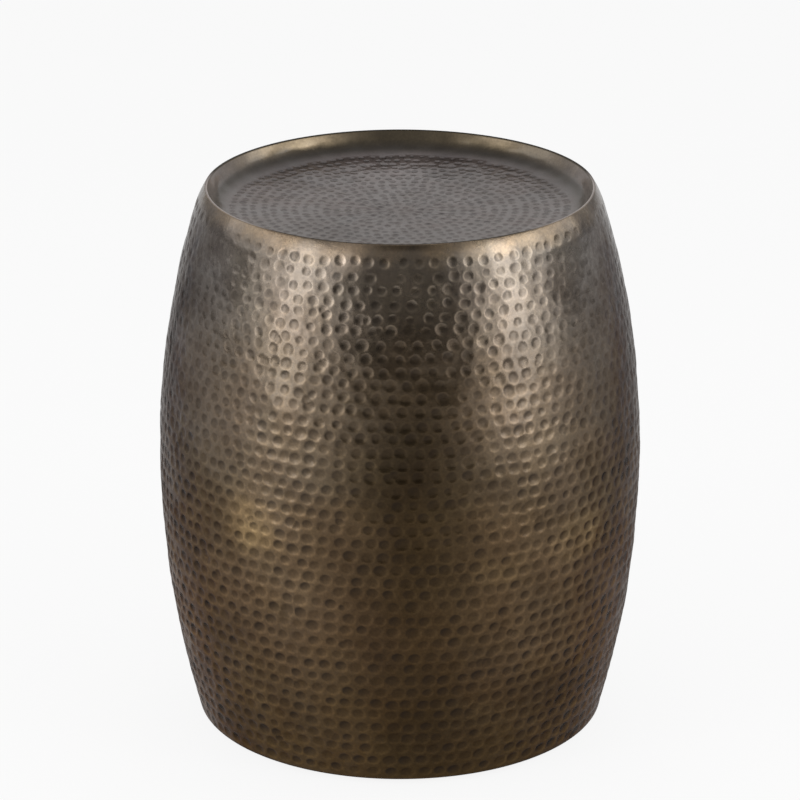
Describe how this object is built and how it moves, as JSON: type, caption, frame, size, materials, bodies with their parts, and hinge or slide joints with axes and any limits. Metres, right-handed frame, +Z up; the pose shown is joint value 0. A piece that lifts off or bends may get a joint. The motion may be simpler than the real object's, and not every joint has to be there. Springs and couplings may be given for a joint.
{
  "type": "drum side table",
  "caption": "Round drum side table: a hammered sheet-metal barrel with a shallow dished top, open inside, on glides.",
  "frame": {"origin": "on the floor, on the barrel's axis", "axes": "+Z up along the barrel's axis; X and Y level, with the glides on the diagonals between them"},
  "size_m": [0.401, 0.401, 0.46],
  "materials": {
    "hammered_metal": "antique brass patina over hammered iron sheet, satin lacquer",
    "ring_steel": "dark mill finish",
    "glide_nylon": "matte black nylon",
    "fastener_steel": "zinc plated"
  },
  "bodies": {
    "root": {"top_dish": "hammered_metal", "upper_shell": "hammered_metal", "lower_shell": "hammered_metal", "base_ring": "ring_steel", "foot_glide_1": "glide_nylon", "foot_glide_2": "glide_nylon", "foot_glide_3": "glide_nylon", "foot_glide_4": "glide_nylon", "glide_screws": "fastener_steel", "weld_nuts": "fastener_steel"}
  },
  "joints": []
}
